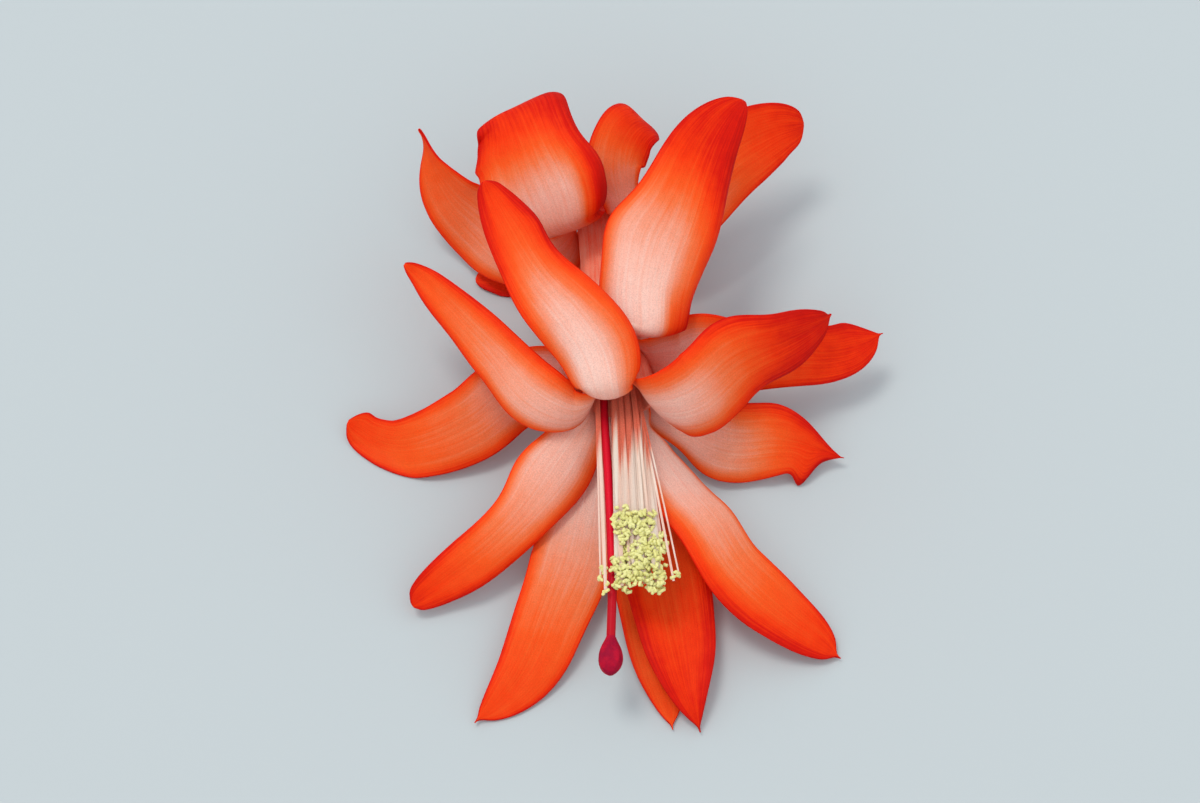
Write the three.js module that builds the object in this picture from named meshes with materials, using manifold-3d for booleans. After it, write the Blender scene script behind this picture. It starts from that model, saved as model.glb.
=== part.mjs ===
// A picked Christmas cactus flower, lying on its side on a flat surface.
// Millimetres, +Z up. The mouth of the flower looks along -Y, the ovary is at its +Y end.
// The ovary, the floral tube, each tepal, the stamens, the style and the stigma are separate solids.
import * as THREE from "three";
import { mergeVertices } from "three/addons/utils/BufferGeometryUtils.js";
import Module from "manifold-3d";

const wasm = await Module();
wasm.setup();

// ---- Driving dimensions -------------------------------------------------------------------------

const GAP = 0.3; // clearance between pieces that touch

// The floral tube. Its axis runs from the mouth back to the ovary, and falls a little on the way.
const MOUTH = new THREE.Vector3(0, 0, 9); // centre of the mouth, above the surface
const TUBE_END = new THREE.Vector3(-2.2, 26, 7); // centre of the tube's back end
const MOUTH_RADIUS = 4; // outside of the tube at the mouth
const NECK_RADIUS = 2.7; // outside of the tube at its back end
const TUBE_WALL = 0.8;
const THROAT_DEPTH = 12; // the open part of the tube, behind the mouth
const THROAT_RADIUS = 3.7; // outside of the tube where it starts to narrow
const NARROWING = [8, 21]; // where it starts and ends to narrow, behind the mouth
const TUBE_SIDES = 20;

const OVARY_LENGTH = 7.5;
const OVARY_RADIUS = 2.6; // at its widest
const OVARY_ENDS = [2.4, 1.1]; // radius at the tube, and of the scar where the flower was picked
const OVARY_BELLY = [2, 4.6]; // the stretch behind its front where it is widest
const OVARY_SIDES = 14;
const OVARY_STEPS = 7;

// Tepals
const TEPAL_THICK = 0.7;
const MARGIN_THICK = 0.6;
const TIP_WIDTH = 0.7;
const CUPPED = 0.3; // where along its length a tepal has its full cup
const TWISTED = 0.14; // where it has its full twist
const SHOULDER = 0.7; // where along its length it starts to close to its tip
const TIP_SHARE = 0.85; // the width it would have at the tip, of that at three quarters
const TIP_CURVE = 0.75; // a lower power makes a blunter tip
const CLAW = 1.6; // how far a root runs straight along the tube
const CELLS_ACROSS = 6;
const CELLS_ALONG = 14;
const FLAT = 1e-3; // the bend, in radians, below which a section counts as flat

// The three rows of tepals: how far behind the mouth the root sits, its distance from the tube's
// axis, and how wide it is.
const ROOT_CLEARANCE = GAP + TEPAL_THICK / 2; // from the tube's outside to the middle of a root
const ROWS = {
  inner: { start: -GAP, radius: MOUTH_RADIUS - TUBE_WALL / 2, rootWidth: 2.3 },
  outer: { start: 4, radius: MOUTH_RADIUS + ROOT_CLEARANCE + 0.2, rootWidth: 3 },
  basal: { start: 25.4, radius: NECK_RADIUS + ROOT_CLEARANCE + 0.3, rootWidth: 2.4 },
};

// Each tepal: around, the angle of its root on the tube (0 right, 90 top); route, the points its
// midrib passes on its way from the root to the tip, from the centre of the mouth; widths, across it
// at a quarter, half and three quarters of its length; cup, how far its sides bend towards its inner
// face at the belly and at the tip; twist, how far it turns about its midrib by the belly and by the
// tip. Angles are degrees. Left and right are as the mouth is looked at. A start here stands in
// place of the row's.
const TEPALS = [
  {
    name: "inner_tepal_top",
    row: "inner",
    around: 100,
    route: [
      [-1, -2.1, 4.4], [-1.5, -2.1, 6.6], [-2.7, 1.2, 8.8], [-5.2, 4.5, 10.5],
      [-8.6, 8.4, 11.6], [-12.4, 13.5, 13], [-14.8, 19, 15],
    ],
    widths: [8.4, 9.6, 6.6],
    cup: [-20, 20],
    twist: [0, 0],
  },
  {
    name: "inner_tepal_upper_left",
    row: "inner",
    around: 150,
    route: [
      [-4.9, -2.4, 1.8], [-7.2, -2.6, 3.1], [-10, -1.3, 4.4], [-13.5, 3, 4.8],
      [-18.3, 9, 4.6], [-23.5, 15.3, 4],
    ],
    widths: [7.6, 6.6, 5],
    cup: [-12, 15],
    twist: [30, 20],
  },
  {
    name: "inner_tepal_lower_left",
    row: "inner",
    around: 200,
    route: [
      [-4.7, -3.8, -1.9], [-6.2, -6.6, -2], [-8.3, -10.1, -2.1], [-11.4, -13.8, -2.8],
      [-16.6, -18, -5], [-23, -21.2, -7.4],
    ],
    widths: [8, 6.6, 6],
    cup: [-12, 10],
    twist: [50, 46],
  },
  {
    name: "inner_tepal_bottom_left",
    row: "inner",
    around: 252,
    route: [
      [-2.5, -5, -5.3], [-3.9, -11.5, -5.6], [-5, -17, -5.4], [-7, -23, -5.8],
      [-10.8, -29, -7.1], [-15, -34.3, -8.8],
    ],
    widths: [6.2, 8.4, 7.6],
    cup: [-10, 10],
    twist: [19, 15],
  },
  {
    name: "inner_tepal_bottom_right",
    row: "inner",
    around: 300,
    route: [
      [2.7, -5, -4.9], [4.1, -12, -5.3], [5.3, -20, -5.8], [6.6, -27, -6.2],
      [7.5, -32.5, -6.9], [8.5, -36, -8.2],
    ],
    widths: [6.4, 9.2, 7.6],
    cup: [-10, 12],
    twist: [-28, -12],
  },
  {
    name: "inner_tepal_lower_right",
    row: "inner",
    around: 349,
    route: [
      [4.3, -4.8, -1.9], [6, -9.5, -1.4], [8.9, -14, -1.5], [12.5, -19, -3],
      [17.5, -23, -5.5], [24, -27, -8.8],
    ],
    widths: [6, 7.8, 9],
    cup: [-10, 10],
    twist: [-68, -62],
  },
  {
    name: "inner_tepal_upper_right",
    row: "inner",
    around: 42,
    route: [
      [3.6, -1.8, 3.1], [5.6, -2.4, 4.1], [8.5, -1.6, 4.7], [13, 1.6, 5],
      [18, 5, 4.5], [23.5, 9, 3.5],
    ],
    widths: [9.4, 10, 8],
    cup: [-18, 8],
    twist: [-14, 0],
  },
  {
    name: "outer_tepal_top_right",
    row: "outer",
    start: 8.4,
    around: 74,
    route: [
      [2.4, 5.9, 5.4], [3.6, 6, 7.2], [3.6, 9.4, 9], [4.5, 13.8, 10],
      [9, 25, 11.5], [14, 32, 12],
    ],
    widths: [10, 11.5, 9],
    cup: [-20, 10],
    twist: [0, 0],
  },
  {
    name: "outer_tepal_upper_right",
    row: "outer",
    start: 6,
    around: 28,
    route: [
      [6.9, 4.3, 1.4], [9.3, 5, 0.9], [14.5, 5.9, 0], [20.5, 7, -1],
      [25, 8.2, -2], [29.5, 10.5, -3],
    ],
    widths: [7.6, 9.6, 7.4],
    cup: [-8, 8],
    twist: [-28, -40],
  },
  {
    name: "outer_tepal_lower_right",
    row: "outer",
    start: 2.4,
    around: 338,
    route: [
      [6.2, -0.6, -3], [8.8, -1.8, -3.7], [12, -2.8, -4.2], [17, -2.6, -5],
      [25, -2.8, -7.6],
    ],
    widths: [7.6, 9.4, 8],
    cup: [-8, 8],
    twist: [-32, -52],
  },
  {
    name: "outer_tepal_bottom",
    row: "outer",
    around: 270,
    route: [
      [0.4, -2, -6.4], [1.5, -9, -7.6], [2.7, -15, -7.9], [3.6, -22, -8.1],
      [4.4, -29, -8.3], [5.6, -35.5, -8.8],
    ],
    widths: [5.4, 7.8, 7],
    cup: [-6, 6],
    twist: [0, 0],
  },
  {
    name: "outer_tepal_left",
    row: "outer",
    around: 188,
    route: [
      [-6, 1.5, -1.1], [-8.6, 1.7, -1.9], [-12, 1, -3], [-16.5, -0.8, -4.4],
      [-21, -1.8, -6], [-25.5, -0.8, -8], [-30, 1.5, -8],
    ],
    widths: [6.8, 9.2, 7.6],
    cup: [-8, 10],
    twist: [45, 55],
  },
  {
    name: "basal_tepal_top_left",
    row: "basal",
    around: 116,
    route: [
      [-4.7, 20.6, 3.3], [-6.4, 19.1, 5.8], [-7.6, 20.9, 8.6], [-9.2, 24, 10.6],
      [-10.6, 27.5, 11.6], [-11.5, 31, 11.2], [-12.3, 33.5, 9.4],
    ],
    widths: [7.4, 12.6, 10.4],
    cup: [-8, -16],
    twist: [0, 0],
  },
  {
    name: "basal_tepal_top",
    row: "basal",
    around: 58,
    route: [
      [0.6, 22.6, 2.8], [0.6, 24.2, 5], [0.4, 27, 7.6], [0.8, 29.6, 8.6],
      [1.8, 31.8, 8], [2.7, 33, 6],
    ],
    widths: [5, 8.6, 7],
    cup: [-10, -10],
    twist: [0, 0],
  },
  {
    name: "basal_tepal_left",
    row: "basal",
    around: 176,
    route: [
      [-6.4, 20.8, -2.3], [-9.3, 19.9, -3.1], [-12.8, 21.6, -3.6], [-16.2, 24.4, -3.4],
      [-19.2, 27, -1.6], [-21.2, 30, 1], [-22.3, 33, 4],
    ],
    widths: [7.6, 9.4, 6],
    cup: [-10, 15],
    twist: [38, 20],
  },
  {
    name: "basal_tepal_right",
    row: "basal",
    around: 4,
    route: [
      [2.4, 21.6, -1.8], [4.8, 22, -1.2], [8.5, 26.6, 1], [13, 31.2, 2.4],
      [18, 34.6, 2.4], [21.4, 36, 1.5],
    ],
    widths: [6.4, 9.4, 9],
    cup: [-8, 10],
    twist: [-45, -30],
  },
  {
    name: "basal_tepal_bottom_left",
    row: "basal",
    around: 244,
    route: [
      [-4.2, 22, -5.4], [-6.8, 21.4, -7.1], [-10.5, 21.4, -8.1], [-14, 21.4, -8.4],
      [-17, 21.4, -8.6],
    ],
    widths: [4.6, 6.6, 5.5],
    cup: [-6, 0],
    twist: [30, 80],
  },
  {
    name: "basal_tepal_bottom_right",
    row: "basal",
    around: 308,
    route: [
      [1.4, 23, -5.4], [3, 22, -7], [5.4, 21, -8.2], [8.6, 20.6, -8.8],
    ],
    widths: [4.6, 6.4, 5],
    cup: [-6, 0],
    twist: [-20, -80],
  },
];

// The style and its stigma. The style stands at the back of the throat and follows this route, from
// the centre of the mouth.
const STYLE_RADIUS = 0.45;
const STYLE_ROUTE = [
  [-1.6, 4, 0.2], [-1.8, 0, 0.3], [-1.3, -10, 0.2], [-0.9, -22, -0.4], [-1, -28.2, -0.7],
];
const STYLE_SIDES = 8;
const STYLE_STEPS = 14;
const STIGMA_LENGTH = 4.3;
const STIGMA_SHAPE = [[0.07, 0.7], [0.5, 1.35], [0.88, 0.85], [1, 0.1]]; // share of length, radius
const STIGMA_SIDES = 12;
const STIGMA_STEPS = 9;

// The stamens. Filaments rise from a ring round the style, pass the mouth in flat sheaves and end in
// anthers. For each sheaf: count; roots, the angles its filaments leave the ring at; height, above
// the centre of the mouth; mouth and ends, how far to the right its first and its last filament are.
const RING_LENGTH = 1.2;
const RING_HOLE = 1.1; // radius
const RING_RIM = 2.2; // radius
const RING_SIDES = 16;
const SHEAVES = [
  { count: 11, roots: [120, 50], height: 1.4, mouth: [-1.3, 2.3], ends: [0, 5.4] },
  { count: 10, roots: [95, 20], height: 0.4, mouth: [-0.5, 2.7], ends: [0.7, 6] },
  { count: 9, roots: [-60, 10], height: -0.7, mouth: [-0.4, 2.5], ends: [0.8, 5.2] },
  { count: 4, roots: [190, 160], height: 1, mouth: [-2.6, -2.4], ends: [-2.6, -1.9] },
];
const FILAMENT_REACH = 16.5; // from the mouth to the nearest anther
const REACH_SPREAD = 6.5; // from there to the furthest
const FILAMENT_WIDTH = 0.3;
const FILAMENT_SIDES = 4;
const FILAMENT_STEPS = 5;
const ARCH_RISE = 0.4; // how far a filament bows up
const ARCH_PLACE = 0.55; // where it does, between the mouth and the anther
const ANTHER_DROP = 0.5; // how far an anther hangs below the height at the mouth
const ANTHER_SCATTER = 0.4; // how much that varies
const ANTHER_LENGTH = 1.5;
const ANTHER_WIDTH = 0.85;
const SEED = 7;

// ---- The tube's frame ---------------------------------------------------------------------------

const AXIS = TUBE_END.clone().sub(MOUTH); // from the mouth back to the ovary
const TUBE_LENGTH = AXIS.length();
AXIS.normalize();
const FORWARD = AXIS.clone().negate();
const TUBE_TURN = new THREE.Quaternion().setFromUnitVectors(new THREE.Vector3(0, 1, 0), AXIS);

// The direction away from the tube's axis at an angle round it, 0 right and 90 top.
function outward(degrees) {
  const angle = THREE.MathUtils.degToRad(degrees);
  return new THREE.Vector3(Math.cos(angle), 0, Math.sin(angle)).applyQuaternion(TUBE_TURN);
}

// A point at a distance behind the mouth, at a radius and an angle round the axis.
function onTube(behind, radius, degrees) {
  return MOUTH.clone().addScaledVector(AXIS, behind).addScaledVector(outward(degrees), radius);
}

function fromMouth([x, y, z]) {
  return new THREE.Vector3(x, y, z).add(MOUTH);
}

// ---- Tepals -------------------------------------------------------------------------------------

const mix = THREE.MathUtils.lerp;
const ease = THREE.MathUtils.smoothstep;

// A smooth curve through values at equal steps from 0 to 1, read at a share of the way.
function through(values, share) {
  const spans = values.length - 1;
  const k = Math.min(Math.floor(share * spans), spans - 1);
  const t = share * spans - k;
  const [p1, p2] = [values[k], values[k + 1]];
  const p0 = k > 0 ? values[k - 1] : 2 * p1 - p2;
  const p3 = k < spans - 1 ? values[k + 2] : 2 * p2 - p1;
  const [m1, m2] = [(p2 - p0) / 2, (p3 - p1) / 2];
  const before = (1 + 2 * t) * (1 - t) ** 2 * p1 + t * (1 - t) ** 2 * m1;
  const after = t * t * (3 - 2 * t) * p2 + t * t * (t - 1) * m2;
  return before + after;
}

// Half the blade's width at a share of its length; past the shoulder it closes to the tip.
function halfWidth(widths, share) {
  const past = Math.max(share - SHOULDER, 0) / (1 - SHOULDER);
  const closing = Math.pow(1 - past * past, TIP_CURVE);
  return mix(TIP_WIDTH, through(widths, share), closing) / 2;
}

// A value that starts at the root, reaches one setting at the end of the claw and the next at the tip.
function along(share, claw, root, [belly, tip]) {
  return share < claw ? mix(root, belly, ease(share, 0, claw)) : mix(belly, tip, ease(share, claw, 1));
}

// The closed blade: a grid across and along, once for each face, joined round the edge.
function tepalGeometry(tepal) {
  const { start, radius, rootWidth, around, route, widths, cup, twist } = { ...ROWS[tepal.row], ...tepal };
  const root = onTube(start, radius, around);
  const rootEnd = onTube(start - CLAW, radius, around);
  const midrib = new THREE.CatmullRomCurve3([root, rootEnd, ...route.map(fromMouth)], false, "centripetal");
  const across = new THREE.Vector3().crossVectors(outward(around), FORWARD);
  const rootCup = THREE.MathUtils.radToDeg(rootWidth / 2 / radius);
  const allWidths = [rootWidth, ...widths, widths.at(-1) * TIP_SHARE];
  const corners = CELLS_ACROSS + 1;
  const faces = [[], []]; // vertices of the inner face and of the outer face

  for (let j = 0; j <= CELLS_ALONG; j++) {
    const share = j / CELLS_ALONG;
    const centre = midrib.getPointAt(share);
    const heading = midrib.getTangentAt(share);
    const turn = THREE.MathUtils.degToRad(along(share, TWISTED, 0, twist));
    const side = across.clone().addScaledVector(heading, -across.dot(heading)).normalize();
    side.applyAxisAngle(heading, turn);
    const inward = new THREE.Vector3().crossVectors(side, heading);
    const half = halfWidth(allWidths, share);
    const bend = THREE.MathUtils.degToRad(along(share, CUPPED, rootCup, cup));
    for (let i = 0; i < corners; i++) {
      const place = (2 * i) / CELLS_ACROSS - 1; // -1 and 1 at the margins
      const angle = bend * place;
      const curved = Math.abs(bend) > FLAT; // the section is an arc, or a line where it is flat
      const sideways = curved ? (half * Math.sin(angle)) / bend : half * place;
      const rise = curved ? (half * (1 - Math.cos(angle))) / bend : 0;
      const middle = centre.clone().addScaledVector(side, sideways).addScaledVector(inward, rise);
      const normal = inward.clone().multiplyScalar(Math.cos(angle)).addScaledVector(side, -Math.sin(angle));
      const thick = mix(TEPAL_THICK, MARGIN_THICK, place * place);
      for (const [face, sign] of [[0, 1], [1, -1]]) {
        const corner = middle.clone().addScaledVector(normal, (sign * thick) / 2);
        corner.z = Math.max(corner.z, face === 0 ? thick : 0); // pressed flat where it meets the surface
        faces[face].push(corner);
      }
    }
  }

  const count = faces[0].length;
  const index = [];
  const quad = (a, b, c, d) => index.push(a, b, c, a, c, d);
  for (let j = 0; j < CELLS_ALONG; j++) {
    for (let i = 0; i < CELLS_ACROSS; i++) {
      const a = j * corners + i;
      quad(a, a + 1, a + 1 + corners, a + corners);
      index.push(count + a, count + a + 1 + corners, count + a + 1); // split alike on both faces
      index.push(count + a, count + a + corners, count + a + 1 + corners);
    }
    const left = j * corners;
    const right = left + CELLS_ACROSS;
    quad(left, left + corners, count + left + corners, count + left);
    quad(right, count + right, count + right + corners, right + corners);
  }
  for (let i = 0; i < CELLS_ACROSS; i++) {
    const tip = CELLS_ALONG * corners + i;
    quad(i, count + i, count + i + 1, i + 1);
    quad(tip, tip + 1, count + tip + 1, count + tip);
  }
  const geometry = new THREE.BufferGeometry().setFromPoints([...faces[0], ...faces[1]]);
  return geometry.setIndex(index);
}

// ---- Turned pieces ------------------------------------------------------------------------------

// Turns a profile of [radius, distance behind the mouth] about the tube's axis.
function turned(profile, segments) {
  const points = profile.map(([radius, behind]) => new THREE.Vector2(radius, behind));
  const geometry = new THREE.LatheGeometry(points, segments);
  geometry.applyQuaternion(TUBE_TURN);
  return geometry.translate(MOUTH.x, MOUTH.y, MOUTH.z);
}

// A profile's points on a smooth curve through the ones given.
function smoothProfile(points, steps) {
  const curve = new THREE.SplineCurve(points.map(([radius, behind]) => new THREE.Vector2(radius, behind)));
  return curve.getPoints(steps).map((point) => [Math.max(point.x, 0), point.y]);
}

// The tube is solid behind its throat.
function tubeGeometry() {
  const inside = MOUTH_RADIUS - TUBE_WALL;
  const floorRadius = mix(inside, NECK_RADIUS - TUBE_WALL, THROAT_DEPTH / TUBE_LENGTH);
  const profile = [
    [0, THROAT_DEPTH],
    [floorRadius, THROAT_DEPTH],
    [inside, 0],
    [MOUTH_RADIUS, 0],
    [THROAT_RADIUS, NARROWING[0]],
    [NECK_RADIUS, NARROWING[1]],
    [NECK_RADIUS, TUBE_LENGTH],
    [0, TUBE_LENGTH],
  ];
  return turned(profile, TUBE_SIDES);
}

function ovaryGeometry() {
  const front = TUBE_LENGTH + GAP;
  const back = front + OVARY_LENGTH;
  const belly = OVARY_BELLY.map((behind) => [OVARY_RADIUS, front + behind]);
  const side = smoothProfile([[OVARY_ENDS[0], front], ...belly, [OVARY_ENDS[1], back]], OVARY_STEPS);
  return turned([[0, front], ...side, [0, back]], OVARY_SIDES);
}

// ---- Threads ------------------------------------------------------------------------------------

function ngon(sides, radius) {
  const corners = [];
  for (let k = 0; k < sides; k++) {
    const angle = (2 * Math.PI * k) / sides;
    corners.push(new THREE.Vector2(radius * Math.cos(angle), radius * Math.sin(angle)));
  }
  return new THREE.Shape(corners);
}

function threadGeometry(points, radius, sides, steps) {
  const extrudePath = new THREE.CatmullRomCurve3(points, false, "centripetal");
  return new THREE.ExtrudeGeometry(ngon(sides, radius), { extrudePath, steps });
}

function styleGeometry() {
  const root = onTube(THROAT_DEPTH - GAP, 0, 0);
  return threadGeometry([root, ...STYLE_ROUTE.map(fromMouth)], STYLE_RADIUS, STYLE_SIDES, STYLE_STEPS);
}

// The stigma's closed lobes make one egg shape beyond the end of the style.
function stigmaGeometry() {
  const [before, end] = STYLE_ROUTE.slice(-2).map(fromMouth);
  const heading = end.clone().sub(before).normalize();
  const shape = STIGMA_SHAPE.map(([share, radius]) => [radius, share * STIGMA_LENGTH]);
  const side = smoothProfile(shape, STIGMA_STEPS);
  const profile = [[0, side[0][1]], ...side, [0, side.at(-1)[1]]];
  const points = profile.map(([radius, ahead]) => new THREE.Vector2(radius, ahead));
  const geometry = new THREE.LatheGeometry(points, STIGMA_SIDES);
  geometry.applyQuaternion(new THREE.Quaternion().setFromUnitVectors(new THREE.Vector3(0, 1, 0), heading));
  return geometry.translate(end.x, end.y, end.z);
}

// ---- Stamens, joined into one body --------------------------------------------------------------

const MERGE_WITHIN = 1e-4;

function solid(geometry) {
  const bare = geometry.clone();
  bare.deleteAttribute("normal");
  bare.deleteAttribute("uv");
  const merged = mergeVertices(bare, MERGE_WITHIN);
  return new wasm.Manifold(
    new wasm.Mesh({
      numProp: 3,
      vertProperties: merged.attributes.position.array,
      triVerts: new Uint32Array(merged.index.array),
    }),
  );
}

function geometryOf(manifold) {
  const { vertProperties, triVerts } = manifold.getMesh();
  return new THREE.BufferGeometry()
    .setAttribute("position", new THREE.BufferAttribute(new Float32Array(vertProperties), 3))
    .setIndex(new THREE.BufferAttribute(new Uint32Array(triVerts), 1));
}

// Repeatable random numbers from 0 to 1, by the Lehmer rule.
function seeded(seed) {
  const multiplier = 16807;
  const modulus = 2 ** 31 - 1;
  let state = seed;
  return () => {
    state = (state * multiplier) % modulus;
    return state / modulus;
  };
}

function antherGeometry(place, heading) {
  const geometry = new THREE.IcosahedronGeometry(0.5, 0);
  geometry.scale(ANTHER_WIDTH, ANTHER_LENGTH, ANTHER_WIDTH);
  geometry.applyQuaternion(new THREE.Quaternion().setFromUnitVectors(new THREE.Vector3(0, 1, 0), heading));
  return geometry.translate(place.x, place.y, place.z);
}

function stamensGeometry() {
  const random = seeded(SEED);
  const depth = THROAT_DEPTH - GAP;
  const front = depth - RING_LENGTH;
  const ring = [
    [RING_HOLE, front],
    [RING_RIM, front],
    [RING_RIM, depth],
    [RING_HOLE, depth],
    [RING_HOLE, front],
  ];
  let body = solid(turned(ring, RING_SIDES));
  for (const { count, roots, height, mouth, ends } of SHEAVES) {
    for (let k = 0; k < count; k++) {
      const share = k / (count - 1);
      const root = onTube(depth - RING_LENGTH / 2, (RING_HOLE + RING_RIM) / 2, mix(...roots, share));
      const reach = FILAMENT_REACH + REACH_SPREAD * random();
      const passing = fromMouth([mix(...mouth, share), 0, height]);
      const end = fromMouth([mix(...ends, share), -reach, height - ANTHER_DROP + ANTHER_SCATTER * random()]);
      const arch = passing.clone().lerp(end, ARCH_PLACE).add(new THREE.Vector3(0, 0, ARCH_RISE));
      const points = [root, passing, arch, end];
      body = body.add(solid(threadGeometry(points, FILAMENT_WIDTH / 2, FILAMENT_SIDES, FILAMENT_STEPS)));
      const heading = new THREE.Vector3(random() - 0.5, random() - 0.5, random() - 0.5).normalize();
      body = body.add(solid(antherGeometry(end, heading)));
    }
  }
  return geometryOf(body);
}

// ---- Materials and the flower -------------------------------------------------------------------

const TEPAL_RED = { color: 0xf04a18, roughness: 0.45 };
const TUBE_PINK = { color: 0xe0a089, roughness: 0.5 };
const OVARY_GREEN = { color: 0x8f9a4c, roughness: 0.55 };
const STAMEN_CREAM = { color: 0xefe3c4, roughness: 0.5 };
const STYLE_CRIMSON = { color: 0xc8102e, roughness: 0.4 };
const STIGMA_MAGENTA = { color: 0xa20a3c, roughness: 0.45 };

const flower = new THREE.Group();

function add(name, geometry, finish) {
  const mesh = new THREE.Mesh(geometry, new THREE.MeshStandardMaterial({ ...finish, metalness: 0 }));
  mesh.name = name;
  flower.add(mesh);
}

add("ovary", ovaryGeometry(), OVARY_GREEN);
add("floral_tube", tubeGeometry(), TUBE_PINK);
for (const tepal of TEPALS) add(tepal.name, tepalGeometry(tepal), TEPAL_RED);
add("style", styleGeometry(), STYLE_CRIMSON);
add("stigma", stigmaGeometry(), STIGMA_MAGENTA);
add("stamens", stamensGeometry(), STAMEN_CREAM);

// The part's origin is on the surface, under the middle of the flower's box.
const box = new THREE.Box3().setFromObject(flower);
flower.position.set(-(box.min.x + box.max.x) / 2, -(box.min.y + box.max.y) / 2, 0);

export default flower;
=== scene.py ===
"""A picked Christmas cactus flower lying on its side: its tepals, tube, ovary, stamens and style."""

import math
import random

import bmesh
import bpy
from bpy.props import FloatProperty, FloatVectorProperty, PointerProperty
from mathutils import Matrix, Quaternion, Vector, noise


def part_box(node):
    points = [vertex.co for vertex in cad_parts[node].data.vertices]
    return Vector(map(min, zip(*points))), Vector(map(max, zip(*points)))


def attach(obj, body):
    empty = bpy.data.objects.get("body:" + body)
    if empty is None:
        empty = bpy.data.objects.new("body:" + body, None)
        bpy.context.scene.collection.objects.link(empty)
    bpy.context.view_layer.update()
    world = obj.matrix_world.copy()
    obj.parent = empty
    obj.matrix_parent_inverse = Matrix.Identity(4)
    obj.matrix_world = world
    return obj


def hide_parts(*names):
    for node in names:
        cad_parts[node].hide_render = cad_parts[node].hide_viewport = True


bl_info = {
    "name": "Christmas Cactus Flower",
    "version": (1, 0, 0),
    "blender": (4, 5, 0),
    "location": "View3D > Sidebar > Flower",
    "description": "Models the soft parts of a picked Christmas cactus flower round its frame",
    "category": "Add Mesh",
}

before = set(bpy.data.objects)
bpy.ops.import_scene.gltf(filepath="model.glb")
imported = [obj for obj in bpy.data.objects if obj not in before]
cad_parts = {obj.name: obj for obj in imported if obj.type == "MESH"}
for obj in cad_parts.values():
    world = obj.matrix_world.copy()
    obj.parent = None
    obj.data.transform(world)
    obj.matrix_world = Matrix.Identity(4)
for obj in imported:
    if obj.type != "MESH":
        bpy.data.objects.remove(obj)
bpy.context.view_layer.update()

MM = 0.001

# ---- The flower's plan, in millimetres from the centre of its mouth ----

MOUTH_HEIGHT = 9.0  # the mouth's centre above the surface
TUBE_RUN = Vector((-2.2, 26.0, -2.0))  # from the mouth back to the ovary
MOUTH_RADIUS = 4.0
THROAT_RADIUS = 3.7  # outside, where the tube starts to narrow
NECK_RADIUS = 2.7
NARROWING = (8.0, 21.0)  # how far behind the mouth it starts and ends
TUBE_WALL = 0.8
THROAT_DEPTH = 12.0
RIM_ROUND = 0.25
FLOOR_ROUND = 0.6  # at the edge of the throat's floor
FLOOR_FLAT = 0.6  # the flat part of that floor, of its radius
INSIDE_RINGS = 6
OUTSIDE_RINGS = 12
BACK_BEVEL = (0.4, 0.35)  # along and across, at the tube's back

AXIS = TUBE_RUN.normalized()
TUBE_LENGTH = TUBE_RUN.length
TUBE_TURN = Vector((0, 1, 0)).rotation_difference(AXIS)

OVARY_LENGTH = 7.5
OVARY_SUNK = 0.4  # how far its front reaches into the tube's back
OVARY_SCAR = 0.25  # how deep the scar at its back is
# How far behind its front, and the radius there.
OVARY_PROFILE = ((0.0, 2.45), (2.0, 2.62), (4.6, 2.6), (6.3, 2.0), (7.2, 1.35), (7.5, 1.1))

CLAW = 1.6  # how far a root runs straight along the tube
TIP_SHARE = 0.85  # width at the tip before it closes, of that at three quarters
CUP_STEPS = 0.6  # the power of its length that spaces the values of its cup
LEAN_START = 0.5  # where along it the leaning starts
TWISTED = 0.14  # where along it the first of its twists is full

# How far behind the mouth the roots of a row sit, their distance from the tube's axis, their width.
ROWS = {
    "inner": dict(start=0.6, radius=3.6, root_width=3.1),
    "outer": dict(start=4.0, radius=4.45, root_width=4.8),
    "basal": dict(start=25.4, radius=3.15, root_width=3.2),
}

# What a tepal has unless it says otherwise.
PLAIN = dict(
    twist=(0, 0), shoulder=0.7, lean=0, blunt=False,
    lobes=(), folds=(), shade_and_red_bands=(), shade_and_red_line=(0.44, 0.62),
)
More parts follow.
